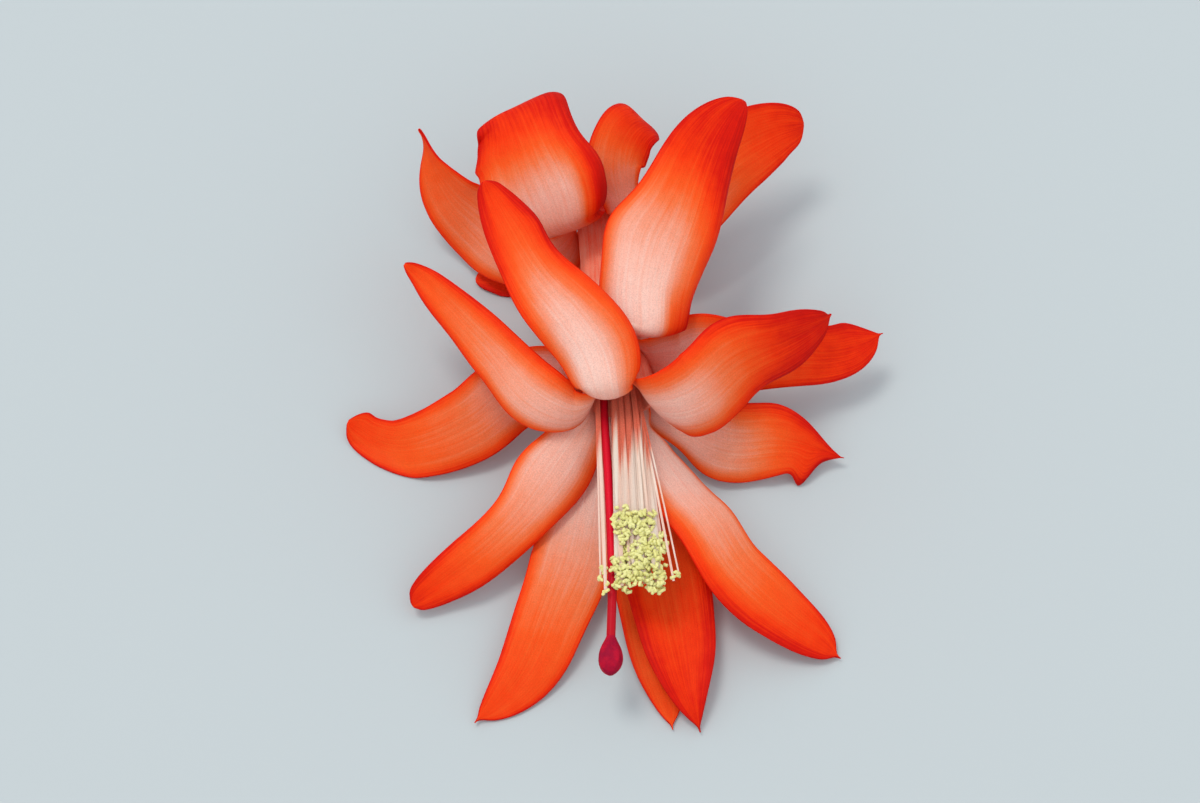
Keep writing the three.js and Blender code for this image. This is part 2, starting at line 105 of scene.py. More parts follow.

# The tepals. The first word of a name is its row.
# around: the angle of its root on the tube, 0 right and 90 top; start, radius, root_width: in place of
# its row's values. route: the points its midrib passes; widths: across it at a quarter, half and three
# quarters; cup: degrees its sides bend to its inner face at a tenth, a third and two thirds of its
# length and at its tip; twist: degrees it turns about its midrib by the belly and by the tip; roll:
# degrees its margins curl to its inner face, first and second. close: a lower power makes a blunter
# tip, and blunt leaves out the fine point; shoulder: where it starts to close; lean: how far the tip
# lies to a side, 1 at the second margin; curl: from where along it the tip curls to the inner face, and
# how far. tint: how red its middle is at the root, the quarters and the tip; band: how wide the red of
# its margins is, of its half width. lobes, folds and the bands of red and painted shade: the margin, 0
# or 1, where along it, over what share of its length, and how far it juts out there, how many degrees
# it is folded to the inner face, or how much redder it is, where a band on a fold is painted shade and
# one elsewhere the tepal's own red; the line of the bands: where across the half width their red starts
# and is full.
TEPALS = (
    dict(
        name="inner_tepal_top", around=100,
        route=((-1, -2.1, 4.4), (-1.5, -2.1, 6.6), (-2.7, 1.2, 8.8), (-5.2, 4.5, 10.5), (-8.6, 8.4, 11.6),
               (-12.1, 13.5, 13), (-14.8, 19, 15)),
        widths=(8.8, 8.8, 6), cup=(-46, -34, 6, 20), roll=(-24, -50),
        close=0.42, lean=-0.1, curl=(0.9, 0.3), blunt=True,
        tint=(0.12, 0.02, 0.16, 0.6, 0.84), band=(0.4, 0.42),
        lobes=((1, 0.32, 0.14, 0.7), (1, 0.8, 0.1, 1.3)), folds=((1, 0.78, 0.13, -44),),
    ),
    dict(
        name="inner_tepal_upper_left", around=150,
        route=((-4.9, -2.4, 1.8), (-7.2, -2.6, 3.1), (-10, -1.3, 4.4), (-13.5, 3, 4.8), (-18.3, 9, 4.6),
               (-23.5, 15.3, 4)),
        widths=(7.6, 6.6, 5), cup=(-30, -24, -6, 15), twist=(30, 20), roll=(-24, -30),
        close=0.62, curl=(0.92, 0.8), blunt=True,
        tint=(0.2, 0.18, 0.36, 0.56, 0.76), band=(0.26, 0.36),
    ),
    dict(
        name="inner_tepal_lower_left", around=200,
        route=((-4.7, -3.8, -1.9), (-6.2, -6.6, -2), (-8.3, -10.1, -2.1), (-11.4, -13.8, -2.8),
               (-16.6, -18, -5), (-22.6, -21.3, -7.4)),
        widths=(8, 6.6, 6), cup=(-20, -26, -12, 10), twist=(50, 46), roll=(-34, -14),
        close=0.38, lean=-0.2, curl=(0.95, 0.3), blunt=True,
        tint=(0.2, 0.12, 0.34, 0.66, 0.88), band=(0.3, 0.3),
        lobes=((1, 0.36, 0.12, 0.7),),
    ),
    dict(
        name="inner_tepal_bottom_left", around=252,
        route=((-2.5, -5, -5.3), (-3.9, -11.5, -5.6), (-5, -17, -5.4), (-7.6, -23, -5.8),
               (-10.8, -29, -7.1), (-15.6, -34.7, -8.8)),
        widths=(6.2, 8.4, 7.6), cup=(-4, -14, -8, 10), twist=(19, 15), roll=(-12, -12),
        close=0.65, lean=0.45, curl=(0.94, 0.5),
        tint=(0.04, 0.04, 0.36, 0.66, 0.78), band=(0.22, 0.26),
        lobes=((1, 0.42, 0.12, 1),),
    ),
    dict(
        name="inner_tepal_bottom_right", around=286,
        route=((2.7, -5, -4.9), (4.1, -12, -5.3), (5.3, -20, -5.8), (6.6, -27, -6.2), (7.5, -32.5, -6.9),
               (8.5, -36, -8.2)),
        widths=(6.4, 9.4, 8), cup=(-4, -10, 6, 26), twist=(-28, -12), roll=(-10, -14),
        close=0.95, lean=-0.1, curl=(0.9, -0.3),
        tint=(0.1, 0.42, 0.66, 0.8, 0.88), band=(0.3, 0.3),
    ),
    dict(
        name="inner_tepal_lower_right", around=308, root_width=3,
        route=((3.9, -6, -2.7), (6, -10.1, -1.8), (8.9, -14, -1.5), (12.3, -19.2, -3), (17.2, -23.2, -5.5),
               (23.7, -27.1, -8.8)),
        widths=(6.4, 7.6, 7.8), cup=(-14, -16, -8, 10), twist=(-68, -62), roll=(-12, -24),
        close=0.48, lean=0.15, curl=(0.95, 0.4),
        tint=(0.04, 0.04, 0.34, 0.66, 0.86), band=(0.2, 0.36),
        lobes=((0, 0.07, 0.035, -1.3), (0, 0.23, 0.1, 2.2), (0, 0.44, 0.2, 1.3)),
    ),
    dict(
        name="inner_tepal_upper_right", around=36, root_width=5.6,
        route=((3.4, -2, 3), (5.6, -3, 4), (8.5, -2.4, 4.6), (13, 1.6, 5), (18, 5, 4.5), (23.5, 9, 3.5)),
        widths=(10.8, 10.4, 8.2), cup=(-12, -20, -12, 8), twist=(-14, 0), roll=(-24, -14),
        close=0.55, lean=-0.25, curl=(0.95, -0.3),
        tint=(0.1, 0.1, 0.52, 0.84, 0.92), band=(0.4, 0.3),
        lobes=((0, 0.08, 0.06, -0.5), (0, 0.55, 0.12, 0.8), (1, 0.16, 0.11, 0.9)),
    ),
    dict(
        name="outer_tepal_top_right", around=74, start=8.4,
        route=((2.4, 5.4, 5.2), (3.7, 4.6, 7), (4, 9, 9), (5.2, 13.8, 10), (10, 25, 11.5), (14, 32, 12)),
        widths=(10, 11.5, 9), cup=(-50, -36, -10, 10), roll=(-20, -46),
        close=0.62, lean=0.4, curl=(0.95, -0.3), blunt=True,
        tint=(0.3, 0.04, 0.26, 0.8, 0.9), band=(0.14, 0.66),
        lobes=((0, 0.24, 0.18, 1.3), (0, 0.47, 0.09, 1.4)), shade_and_red_bands=((1, 0.14, 0.2, 0.75),),
        shade_and_red_line=(0.02, 0.42),
    ),
    dict(
        name="outer_tepal_upper_right", around=28, start=6, radius=3.85, root_width=8,
        route=((6.4, 4, 1.4), (9.2, 5.4, 0.9), (14.5, 5.9, 0), (20.5, 7, -1), (25, 8.2, -2),
               (29.5, 10.5, -3)),
        widths=(10, 8.6, 6.6), cup=(-10, -8, 0, 8), twist=(-28, -40), roll=(-10, -10),
        close=0.6, lean=-0.5, curl=(0.95, 0.3),
        tint=(0.1, 0.14, 0.58, 0.82, 0.88), band=(0.24, 0.24),
        lobes=((0, 0.42, 0.14, -0.6), (0, 0.86, 0.08, 0.9)),
    ),
    dict(
        name="outer_tepal_lower_right", around=338, start=2.4,
        route=((6.2, -0.6, -3), (8.8, -1.8, -3.7), (12, -2.8, -4.2), (17, -2.6, -5), (25, -2.8, -7.6)),
        widths=(8.8, 9.4, 8), cup=(-10, -8, 0, 8), twist=(-32, -52), roll=(-8, -14),
        close=1.4, shoulder=0.62, lean=0.45, curl=(0.95, 0.2),
        tint=(0.1, 0.1, 0.32, 0.72, 0.94), band=(0.3, 0.2),
        lobes=((1, 0.24, 0.12, -1.6), (1, 0.83, 0.045, 2.6),), folds=((1, 0.88, 0.08, -50),),
        # the red band on its fold is painted shade
        shade_and_red_bands=((1, 0.9, 0.06, 0.85),),
    ),
    dict(
        name="outer_tepal_bottom", around=270,
        route=((0.4, -2, -6.4), (1.5, -9, -7.6), (2.7, -15, -7.9), (3.6, -22, -8.1), (4.4, -29, -8.3),
               (5.6, -35.5, -8.8)),
        widths=(5.4, 7.8, 7), cup=(0, -6, 0, 6), roll=(-6, -6),
        close=0.75, lean=0.1, curl=(0.95, 0.2),
        tint=(0.2, 0.46, 0.62, 0.66, 0.7), band=(0.16, 0.16),
    ),
    dict(
        name="outer_tepal_left", around=184, start=6,
        route=((-6, 3.2, -0.7), (-8.8, 3.6, -1.5), (-12.4, 2.4, -2.9), (-16.5, -0.4, -4.4),
               (-21, -1.6, -6), (-25.5, -0.9, -8), (-30.4, 1.8, -7.6)),
        widths=(8.4, 8.6, 7), cup=(-10, -8, 2, 10), twist=(45, 55), roll=(-8, -12),
        close=0.42, lean=0.2, curl=(0.93, 0.5), blunt=True,
        tint=(0.04, 0.12, 0.46, 0.64, 0.8), band=(0.26, 0.16),
        lobes=((1, 0.965, 0.026, 1.1),),
    ),
    dict(
        name="basal_tepal_top_left", around=116,
        route=((-4.7, 20.6, 3.3), (-6.4, 19.1, 5.8), (-7.6, 20.9, 8.6), (-9.2, 24, 10.6),
               (-10.6, 27.5, 11.6), (-11.9, 31, 11.2), (-12.7, 32.6, 9)),
        widths=(8.6, 15, 13.5), cup=(-20, -10, -12, -20), roll=(-10, -46),
        close=0.26, curl=(0.9, -0.5), blunt=True,
        tint=(0.6, 0.3, 0.16, 0.74, 0.92), band=(0.14, 0.6),
        lobes=((0, 0.5, 0.2, 0.5), (0, 0.74, 0.04, 0.7), (1, 0.7, 0.12, -0.8), (1, 0.88, 0.06, 0.6)),
        # the red band on its fold is painted shade
        folds=((1, 0.45, 0.25, -24),), shade_and_red_bands=((1, 0.42, 0.22, 0.6),),
    ),
    dict(
        name="basal_tepal_top", around=58,
        route=((0.6, 22.6, 2.8), (0.6, 24.2, 5), (0.2, 26.4, 7.4), (0.9, 28.6, 8), (2.5, 30.7, 7.6),
               (4.6, 31.8, 6)),
        widths=(4.4, 8.2, 7.8), cup=(-10, -10, -10, -14), roll=(-10, -10),
        close=0.55, lean=0.4, curl=(0.9, -0.6), blunt=True,
        tint=(0.3, 0.16, 0.34, 0.76, 0.94), band=(0.2, 0.2),
        lobes=((1, 0.45, 0.17, -1.8),),
    ),
    dict(
        name="basal_tepal_left", around=176,
        route=((-6.4, 20.8, -2.3), (-9.3, 19.9, -3.1), (-12.8, 21.6, -3.6), (-16, 25.2, -3.4),
               (-19.4, 28, -1.4), (-21.4, 30.8, 1.2), (-21.9, 33.8, 4.2)),
        widths=(7.8, 10.6, 7.6), cup=(-10, -10, 4, 15), twist=(38, 20), roll=(-12, -8),
        close=1.5, curl=(0.88, 1.2),
        tint=(0.35, 0.22, 0.36, 0.56, 0.76), band=(0.24, 0.2),
        lobes=((0, 0.36, 0.15, -1.1),),
    ),
    dict(
        name="basal_tepal_right", around=24,
        route=((2.4, 21.6, -1.8), (4.8, 22, -1.2), (8.5, 26.6, 1), (13, 31.2, 2.4), (18, 34.6, 2.4),
               (21.4, 36, 1.5)),
        widths=(8, 9.8, 9), cup=(-8, -8, 2, 10), twist=(-45, -30), roll=(-8, -8),
        close=0.42, lean=-0.1, curl=(0.95, -0.3), blunt=True,
        tint=(0.3, 0.3, 0.5, 0.72, 0.88), band=(0.2, 0.2),
    ),
    dict(
        name="basal_tepal_bottom_left", around=244,
        route=((-4.2, 22, -5.4), (-6.8, 21.4, -7.1), (-10.5, 21.4, -8.1), (-14, 21.4, -8.4),
               (-16.6, 21.1, -8.6)),
        widths=(4.6, 6.6, 5.5), cup=(-6, -6, -3, 0), twist=(30, 80), roll=(0, 0),
        close=0.6, curl=(0.95, 0), blunt=True,
        tint=(0.3, 0.5, 0.7, 0.8, 0.85), band=(0.2, 0.2),
    ),
    dict(
        name="basal_tepal_bottom_right", around=308,
        route=((1.4, 23, -5.4), (3, 22, -7), (5.4, 21, -8.2), (8.6, 20.6, -8.8)),
        widths=(4.6, 6.4, 5), cup=(-6, -6, -3, 0), twist=(-20, -80), roll=(0, 0),
        close=0.6, curl=(0.95, 0),
        tint=(0.3, 0.5, 0.7, 0.8, 0.85), band=(0.2, 0.2),
    ),
)

TEPAL_SEED = 3
CELLS_ACROSS = 24
CELLS_ALONG = 60
TIP_WIDTH = 0.35
POINT_START = 0.98  # where along it the fine point of a tepal starts
POINT_SHARE = 0.3  # width of the point's end, of the tip's
OPEN_START = (0.14, 0.4)  # where along it the margins start to curl and wave, and do so in full
OPEN_END = 0.85  # where along it they start to lie flat again
LOBE_FADE = 0.08  # the share of its length before the tip where lobes fade
ROLL_START = 0.62  # where across the half width a margin starts to curl
FOLD_LINE = (0.68, 0.8)  # where across the half width a fold starts and is full
# how much darker red a fold is painted: painted shade on the folded margin
FOLD_SHADE = 0.9
GROOVE_DEPTH = 0.07  # the furrow along the midrib
GROOVE_WIDTH = 0.2  # of the half width
MARGIN_RED = 0.8  # how red the bands along the margins are
BAND_START = 1.9  # how far in from the margin a band starts, in its own widths
BAND_FULL = 1.1  # where across the half width a band would be at its reddest
BAND_ALONG = (-0.2, 0.25)  # where along it the bands start and are full
BAND_WAVE = 0.35  # how far the width of a band varies
BAND_TURN = 3  # how many radians of that wave lie along it
RIM_RED = 0.36  # how red the rim itself is
RIM_START = 0.9  # where across the half width the thin red rim starts
RIPPLE = 0.16  # how far the margins wave
RIPPLE_WAVES = 3.4
CLEAR = 0.03  # the least height of a tepal's underside above the surface

STYLE_RADIUS = 0.48
STYLE_SUNK = 0.3  # how far its root stands above the floor of the throat
STYLE_ROUTE = (
    (-1.6, 4, 0.2), (-1.8, 0, 0.3), (-1.3, -10, 0.2), (-0.9, -22, -0.4), (-1.05, -28.5, -0.7),
)
STIGMA_LENGTH = 4.7
STIGMA_SUNK = 0.5  # how far it starts behind the style's end
# The share of its length, and the radius there.
STIGMA_PROFILE = (
    (0.0, 0.2), (0.05, 0.5), (0.13, 0.58), (0.24, 0.86), (0.42, 1.22), (0.62, 1.36), (0.82, 1.12),
    (0.95, 0.62), (1.0, 0.2),
)
STIGMA_LOBES = 7

# Stamens rise from a ring round the style and pass the mouth in flat sheaves. For each sheaf: count;
# roots, the angles on the ring; height above the mouth's centre; mouth and ends, how far to the right
# its first and last filament are; reach, how far ahead of the mouth its nearest and furthest end is;
# broad, how wide its ribbons are, each of them a few filaments side by side; anthers, of each ribbon.
RING_DEPTH = 11.1
RING_RADIUS = 1.7
BUNCHES = 4  # the filaments of a sheaf leave the mouth in bunches and spread from there
BUNCHED = 0.5  # how closely a bunch stands together
SHEAVES = (
    dict(
        count=16, roots=(120, 50), height=1.3, mouth=(-0.95, 1.8), ends=(-0.3, 3), reach=(15.4, 17.9),
        broad=1, anthers=9,
    ),
    dict(
        count=24, roots=(95, 20), height=0.8, mouth=(-0.95, 2.2), ends=(-0.4, 4.4), reach=(18.4, 23),
        broad=1, anthers=11,
    ),
    dict(
        count=18, roots=(-60, 10), height=0.2, mouth=(-0.9, 2.1), ends=(-0.3, 4.2), reach=(19.6, 23.6),
        broad=1, anthers=11,
    ),
    dict(
        count=2, roots=(20, 0), height=0.9, mouth=(1.95, 2.15), ends=(5.5, 6.3), reach=(21, 22.6),
        broad=0.5, anthers=2,
    ),
    dict(
        count=3, roots=(190, 160), height=1, mouth=(-2.62, -2.38), ends=(-2, -1.6), reach=(20.5, 23.8),
        broad=0.6, anthers=3,
    ),
)
FILAMENT_SEED = 7
HEIGHT_SPREAD = 0.15
END_SPREAD = 0.2
DROOP = (0.1, 0.5)  # how far an end hangs below its filament's height
ARCH_PLACE = 0.55  # where the arch of a filament is highest
ARCH_HEIGHT = 0.4
RIBBON_SPREAD = (0.7, 1.4)

ANTHER_SEED = 11
ANTHER_LUMP = 0.22  # how lumpy an anther is
ANTHER_LUMPS = 2.2  # how fine its lumps are
ANTHER_WAIST = (0.25, 0.3)  # how deep and how long its waist is
ANTHER_BOW = 0.5
ANTHER_TILT = 0.6  # the most an anther tilts
ANTHER_SCATTER = ((-0.6, 0.6), (-0.6, 1.9), (0, 0.6))  # round the filament's end
NOISE_SPAN = 50  # over how much of the noise the anthers are spread

# ---- Skins ----

CELL_SIZE = 0.12  # millimetres
MOTTLE_SCALE = 0.08  # of the cells'
# the painted sparkle: specks of lighter and darker colour standing in for light caught by the skin's cells
SPARKLE_SCALE = 0.85  # of the cells' too
SPARKLE_MIDDLE = 0.44  # what is taken off the painted sparkle to centre it
SPARKLE_DEPTH = (0.55, 0.45)  # where the skin is pale, and how much less it is where the skin is reddest
CELL_RELIEF = 0.5  # of the veins'
RELIEF_DEPTH = 0.00012  # metres
ROUGHNESS_SPREAD = 0.2
SKIN_SHINE = 0.08
FEATHER = 0.34  # how far the veins feather the red of a tepal
CLOUD = 0.1  # how far it is clouded
STREAK_SHARE = 0.75  # of the tube's colour that follows its ribs

# The salmon of the filaments, partly their own pink and partly painted shade and orange light let through
# the top tepal, ends at a distance from the mouth that varies across them.
PATCHES = 1400  # in a metre
PATCH_START = 0.34
PATCH_CONTRAST = 3
RED_END = 0.0018  # metres ahead of the mouth
RED_SPREAD = 0.0066
RED_FADE = 0.004
PATCH_LEFT = 0.35  # how much of the red is left further on

# ---- The camera, as the flower was seen ----

CAMERA_ELEVATION = 60.0  # degrees above the surface
CAMERA_TARGET = Vector((-2.2, 0.0, 0.0))
CAMERA_DISTANCE = 350.0
CAMERA_LENS = 95.5
SENSOR_WIDTH = 36.0
CAMERA_CLIP = (0.01, 20)  # metres

SUN_TRAVEL = Vector((6.0, -3.5, -20.0))  # the way the light goes
SUN_ENERGY = 1.25
SUN_ANGLE = 20  # degrees; a wide sun makes soft shadows
SUN_COLOUR = (1.0, 0.975, 0.94)
SKY_COLOUR = (0.9, 0.95, 1.0, 1)
SKY_STRENGTH = 1.18


def lerp(a, b, share):
    return a + (b - a) * share


def ease(x, low, high):
    """Rises smoothly from 0 at low to 1 at high."""
    t = min(max((x - low) / (high - low), 0.0), 1.0)
    return t * t * (3 - 2 * t)


def srgb(red, green, blue):
    """A colour from its screen values, 0 to 255, as the linear values that materials take."""
    linear = []
    for value in (red, green, blue):
        share = value / 255
        linear.append(share / 12.92 if share <= 0.04045 else ((share + 0.055) / 1.055) ** 2.4)
    return tuple(linear)


def mouth_in_frame():
    """The mouth's centre in the frame, in millimetres, from the tube's box."""
    low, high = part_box("floral_tube")
    x = high.x / MM - MOUTH_RADIUS * math.sqrt(1 - AXIS.x ** 2)
    y = low.y / MM + MOUTH_RADIUS * math.sqrt(1 - AXIS.y ** 2)
    return Vector((x, y, MOUTH_HEIGHT))


MOUTH = mouth_in_frame()


def placed(point):
    """A point given from the mouth's centre, in the frame, in metres."""
    return (MOUTH + Vector(point)) * MM


def outward(degrees):
    """The direction away from the tube's axis at an angle round it, 0 right and 90 top."""
    angle = math.radians(degrees)
    return TUBE_TURN @ Vector((math.cos(angle), 0, math.sin(angle)))


def on_tube(behind, radius, degrees):
    return AXIS * behind + outward(degrees) * radius


# ---- Curves ----


def span_at(values, share):
    """The four values round a share of the way, the ends run on, and the share of the middle span."""
    spans = len(values) - 1
    k = min(int(share * spans), spans - 1)
    before, after = values[k], values[k + 1]
    first = values[k - 1] if k > 0 else 2 * before - after
    last = values[k + 2] if k < spans - 1 else 2 * after - before
    return first, before, after, last, share * spans - k


def curve_point(points, share):
    """A point on the smooth curve through the points, its spans eased by the root of their length."""
    p0, p1, p2, p3, w = span_at(points, share)
    d0, d1, d2 = math.sqrt((p1 - p0).length), math.sqrt((p2 - p1).length), math.sqrt((p3 - p2).length)
    m1 = ((p1 - p0) / d0 - (p2 - p0) / (d0 + d1) + (p2 - p1) / d1) * d1
    m2 = ((p2 - p1) / d1 - (p3 - p1) / (d1 + d2) + (p3 - p2) / d2) * d1
    return p1 + m1 * w + (3 * (p2 - p1) - 2 * m1 - m2) * w ** 2 + (2 * (p1 - p2) + m1 + m2) * w ** 3


def even_points(points, steps, samples=400):
    """Points and directions at equal distances along the curve through the points."""
    sampled = [curve_point(points, k / samples) for k in range(samples + 1)]
    run = [0.0]
    for a, b in zip(sampled, sampled[1:]):
        run.append(run[-1] + (b - a).length)
    found = []
    k = 0
    for j in range(steps + 1):
        target = run[-1] * j / steps
        while k < samples - 1 and run[k + 1] < target:
            k += 1
        share = (target - run[k]) / max(run[k + 1] - run[k], 1e-9)
        heading = (sampled[k + 1] - sampled[k]).normalized()
        found.append((sampled[k].lerp(sampled[k + 1], share), heading))
    return found


def through(values, share):
    """A smooth curve through values at equal steps from 0 to 1, read at a share of the way."""
    p0, p1, p2, p3, t = span_at(values, share)
    m1, m2 = (p2 - p0) / 2, (p3 - p1) / 2
    before = (1 + 2 * t) * (1 - t) ** 2 * p1 + t * (1 - t) ** 2 * m1
    return before + t * t * (3 - 2 * t) * p2 + t * t * (t - 1) * m2


def twist_at(share, twist):
    belly, tip = twist
    if share < TWISTED:
        return belly * ease(share, 0, TWISTED)
    return lerp(belly, tip, ease(share, TWISTED, 1))


# ---- Objects ----


def add_object(name, data):
    added = bpy.data.objects.new(name, data)
    bpy.context.collection.objects.link(added)
    return added


def aim(added, direction):
    added.rotation_mode = "QUATERNION"
    added.rotation_quaternion = direction.to_track_quat("-Z", "Y")


def new_piece(name, mesh, material, node):
    """A finished piece: on the flower's body, standing for its node, with its materials."""
    piece = add_object(name, mesh)
    for finish in material if isinstance(material, tuple) else (material,):
        mesh.materials.append(finish)
    mesh.shade_smooth()
    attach(piece, "root")
    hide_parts(node)
    return piece


def mesh_of(bm, name):
    mesh = bpy.data.meshes.new(name)
    bm.to_mesh(mesh)
    bm.free()
    return mesh


def subdivide(piece):
    modifier = piece.modifiers.new("Smooth surface", "SUBSURF")
    modifier.levels = modifier.render_levels = 1


# ---- Tepals ----


def tepal_stations(tepal):
    """For each step along a tepal: its centre, side and inward directions, half width, bend."""
    start, around = tepal["start"], tepal["around"]
    radius, root_width = tepal["radius"], tepal["root_width"]
    root = on_tube(start, radius, around)
    root_end = on_tube(start - CLAW, radius, around)
    points = [root, root_end, *(Vector(p) for p in tepal["route"])]
    across = outward(around).cross(-AXIS)
    widths = (root_width, *tepal["widths"], tepal["widths"][-1] * TIP_SHARE)
    root_cup = math.degrees(root_width / 2 / radius)
    stations = []
    for j, (centre, heading) in enumerate(even_points(points, CELLS_ALONG)):
        share = j / CELLS_ALONG
        turn = math.radians(twist_at(share, tepal["twist"]))
        side = (across - heading * across.dot(heading)).normalized()
        side = Quaternion(heading, turn) @ side
        point_start = 1 if tepal["blunt"] else POINT_START
        past = min(max(share - tepal["shoulder"], 0) / (point_start - tepal["shoulder"]), 1)
        closing = (1 - past * past) ** tepal["close"]
        half = lerp(TIP_WIDTH, through(widths, share), closing) / 2
        if share > point_start:
            half *= POINT_SHARE
        inward = side.cross(heading)
        curl_start, curl = tepal["curl"]
        lift = max(share - curl_start, 0) / (1 - curl_start)
        closed = (widths[-1] - TIP_WIDTH) / 2
        leaning = through(widths, share) / 2 - half - closed * ease(share, LEAN_START, 1)
        centre = centre + side * tepal["lean"] * leaning + inward * curl * lift ** 2
        bend = math.radians(through((root_cup, *tepal["cup"]), share ** CUP_STEPS))
        stations.append((centre, side, inward, half, bend))
    return stations


def complete(tepal):
    """A tepal's values, with its row's and the plain ones where it has none of its own."""
    return {**PLAIN, **ROWS[tepal["name"].split("_")[0]], **tepal}


def bulge(tepal, kind, hand, share):
    """The sum of a tepal's lobes, folds or stains at a place on one margin."""
    total = 0.0
    for margin, middle, reach, amount in tepal[kind]:
        if margin == hand:
            total += amount * math.exp(-(((share - middle) / reach) ** 2))
    return total


def section(half, bend, roll, fold, steps):
    """The places across one side of a tepal: how far sideways and inward each lies from the midrib."""
    sideways = rise = 0.0
    places = [(0.0, 0.0)]
    for k in range(steps):
        place = (k + 0.5) / steps
        angle = bend * place + roll * ease(place, ROLL_START, 1) + fold * ease(place, *FOLD_LINE)
        sideways += half / steps * math.cos(angle)
        rise += half / steps * math.sin(angle)
        places.append((sideways, rise))
    return places


def tepal_surface(tepal, thickness, margin, rng):
    """The tepal's mid surface as a grid, with how red and how thick it is at each vertex."""
    stations = tepal_stations(tepal)
    steps = CELLS_ACROSS // 2
    phases = [rng.uniform(0, 2 * math.pi) for _ in range(2)]
    rolls = [math.radians(degrees) for degrees in tepal["roll"]]
    bm = bmesh.new()
    bm.loops.layers.uv.new("petal")
    blush = bm.verts.layers.float.new("blush")
    weights = bm.verts.layers.deform.verify()
    bmesh.ops.create_grid(bm, x_segments=CELLS_ACROSS, y_segments=CELLS_ALONG, size=1, calc_uvs=True)
    for vert in bm.verts:
        place = vert.co.x
        share = (vert.co.y + 1) / 2
        centre, side, inward, half, bend = stations[round(share * CELLS_ALONG)]
        hand = 0 if place < 0 else 1
        open_part = ease(share, *OPEN_START) * (1 - ease(share, OPEN_END, 1))
        column = round(abs(place) * steps)
        half += bulge(tepal, "lobes", hand, share) * ease(1 - share, 0, LOBE_FADE)
        fold = math.radians(bulge(tepal, "folds", hand, share))
        sideways, rise = section(half, bend, rolls[hand] * open_part, fold, steps)[column]
        wave = math.sin(2 * math.pi * RIPPLE_WAVES * share + phases[hand])
        rise += RIPPLE * wave * abs(place) ** 3 * open_part
        rise -= GROOVE_DEPTH * math.exp(-((place / GROOVE_WIDTH) ** 2)) * open_part
        point = centre + side * math.copysign(sideways, place) + inward * rise
        thick = lerp(1, margin / thickness, place * place)
        lowest = -MOUTH_HEIGHT + thickness / MM / 2 * thick + CLEAR
        point.z = max(point.z, lowest)
        vert.co = placed(point)
        tint = through(tepal["tint"], share)
        band = tepal["band"][hand] * (1 - BAND_WAVE * math.sin(BAND_TURN * share + phases[hand]))
        spread = MARGIN_RED * ease(abs(place), 1 - BAND_START * band, BAND_FULL)
        spread *= ease(share, *BAND_ALONG)
        rim = RIM_RED * ease(abs(place), RIM_START, 1)
        # painted shade on folded margins, plus the red bands, which are painted shade where they lie on
        # folds
        folded = FOLD_SHADE * min(abs(fold), 1) * ease(abs(place), *FOLD_LINE)
        folded += bulge(tepal, "shade_and_red_bands", hand, share) * ease(abs(place), *tepal["shade_and_red_line"])
        vert[blush] = 1 - (1 - tint) * (1 - spread) * (1 - rim) * (1 - folded)
        vert[weights][0] = thick
    return bm


def build_tepal(tepal, sizes, materials, rng):
    bm = tepal_surface(tepal, sizes.petal_thickness, sizes.margin_thickness, rng)
    name = tepal["name"].replace("tepal", "petal")
    piece = new_piece(name, mesh_of(bm, name), materials, tepal["name"])
    piece.vertex_groups.new(name="thickness")
    solid = piece.modifiers.new("Flesh", "SOLIDIFY")
    solid.thickness = sizes.petal_thickness
    solid.offset = 0
    solid.vertex_group = "thickness"
    solid.material_offset = 1
    solid.use_even_offset = False
    subdivide(piece)


# ---- Turned pieces ----


def turned(profile, segments, flutes, depth):
    """A closed body spun about the Y axis from a profile of (distance along, radius)."""
    bm = bmesh.new()
    uv = bm.loops.layers.uv.new("petal")
    verts = [bm.verts.new((radius, distance, 0)) for distance, radius in profile]
    edges = [bm.edges.new(pair) for pair in zip(verts, verts[1:])]
    bmesh.ops.spin(
        bm, geom=verts + edges, cent=(0, 0, 0), axis=(0, 1, 0), dvec=(0, 0, 0),
        angle=2 * math.pi, steps=segments, use_merge=True,
    )
    bmesh.ops.remove_doubles(bm, verts=bm.verts, dist=1e-4)
    for vert in bm.verts:
        angle = math.atan2(vert.co.z, vert.co.x)
        swell = 1 + depth * math.cos(flutes * angle)
        vert.co.x *= swell
        vert.co.z *= swell
    bmesh.ops.recalc_face_normals(bm, faces=bm.faces)
    length = profile[-1][0] - profile[0][0]
    for face in bm.faces:
        middle = face.calc_center_median()
        across = Vector((middle.x, middle.z, 0)).normalized()
        for loop in face.loops:
            place = loop.vert.co
            aside = Vector((
                across.x * place.x + across.y * place.z, across.x * place.z - across.y * place.x,
            ))
            turn = math.atan2(across.y, across.x) + math.atan2(aside.y, aside.x)
            loop[uv].uv = (turn / (2 * math.pi), (place.y - profile[0][0]) / length)
    return bm


def settle(bm, turn, origin):
    """Turns a body made about the Y axis to its direction and puts it at its place."""
    bmesh.ops.rotate(bm, verts=bm.verts, cent=(0, 0, 0), matrix=turn.to_matrix())
    bmesh.ops.scale(bm, verts=bm.verts, vec=(MM, MM, MM))
    bmesh.ops.translate(bm, verts=bm.verts, vec=placed(origin))
    return bm


